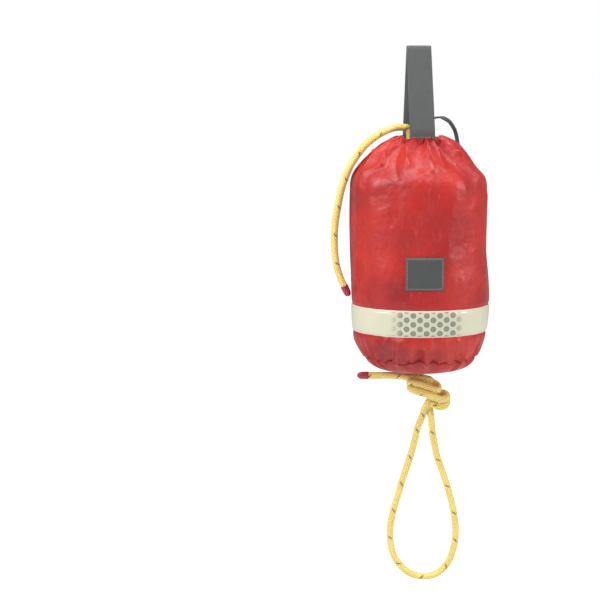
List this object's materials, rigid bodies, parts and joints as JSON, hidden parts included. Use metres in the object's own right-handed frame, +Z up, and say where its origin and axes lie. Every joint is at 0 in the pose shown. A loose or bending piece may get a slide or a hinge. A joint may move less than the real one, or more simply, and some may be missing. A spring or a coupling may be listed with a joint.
{
  "type": "throw rope bag",
  "caption": "Rescue throw bag of red coated nylon with a webbing handle, a reflective band, a stuffed floating rope and a knotted rope grab loop under its base.",
  "frame": {"origin": "middle of the inner face of the handle strap's top fold, where the bag hangs", "axes": "+Z up along the hanging bag, -Y towards the front with the label, +X to the right seen from the front"},
  "size_m": [0.1783, 0.1465, 0.6049],
  "materials": {
    "webbing": "matte",
    "red_nylon": "satin",
    "reflective_tape": "satin",
    "label": "matte",
    "rope": "matte",
    "rope_tip": "satin",
    "drawcord_tape": "matte",
    "brass": "satin",
    "foam": "matte",
    "lock_plastic": "matte",
    "spring_steel": "satin"
  },
  "bodies": {
    "handle": {"handle_strap": "webbing"},
    "bag": {"strap_end_front": "webbing", "strap_end_back": "webbing", "bag_side_panel": "red_nylon", "bag_base_panel": "red_nylon", "mouth_hem": "red_nylon", "reflective_band": "reflective_tape", "label_patch": "label", "base_grommet": "brass", "grommet_washer": "brass", "float_disc": "foam", "rope_pack": "rope", "inner_stopper_knot": "rope", "rope_neck": "rope", "drawcord": "drawcord_tape", "drawcord_end_knot": "drawcord_tape"},
    "cord_lock": {"cord_lock_barrel": "lock_plastic"},
    "cord_lock_button": {"cord_lock_button": "lock_plastic", "cord_lock_spring": "spring_steel"},
    "knot": {"rope_knot": "rope", "rope_tail": "rope", "rope_tail_tip": "rope_tip"},
    "grab_loop": {"rope_loop": "rope"},
    "free_end": {"rope_free_end": "rope", "rope_free_end_tip": "rope_tip"}
  },
  "joints": [
    {"name": "bag_swing", "type": "hinge", "parent": "handle", "child": "bag", "pos_m": [0, 0.00027, -0.097], "axis": [1, 0, 0], "range_deg": [-12, 12]},
    {"name": "knot_swing", "type": "hinge", "parent": "bag", "child": "knot", "pos_m": [0.004, -0.00007, -0.3677], "axis": [1, 0, 0], "range_deg": [-20, 20]},
    {"name": "grab_loop_swing", "type": "hinge", "parent": "knot", "child": "grab_loop", "pos_m": [0.00907, 0, -0.412], "axis": [0, 1, 0], "range_deg": [-15, 15]},
    {"name": "free_end_lift", "type": "hinge", "parent": "bag", "child": "free_end", "pos_m": [-0.009, -0.002, -0.1], "axis": [0, 1, 0], "range_deg": [0, 20]},
    {"name": "cord_lock_slide", "type": "slide", "parent": "bag", "child": "cord_lock", "axis": [0, 0, 1], "range_m": [-0.012, 0.01]},
    {"name": "cord_lock_press", "type": "slide", "parent": "cord_lock", "child": "cord_lock_button", "axis": [-1, 0, 0], "range_m": [0, 0.003], "stiffness_N_per_m": 600}
  ]
}
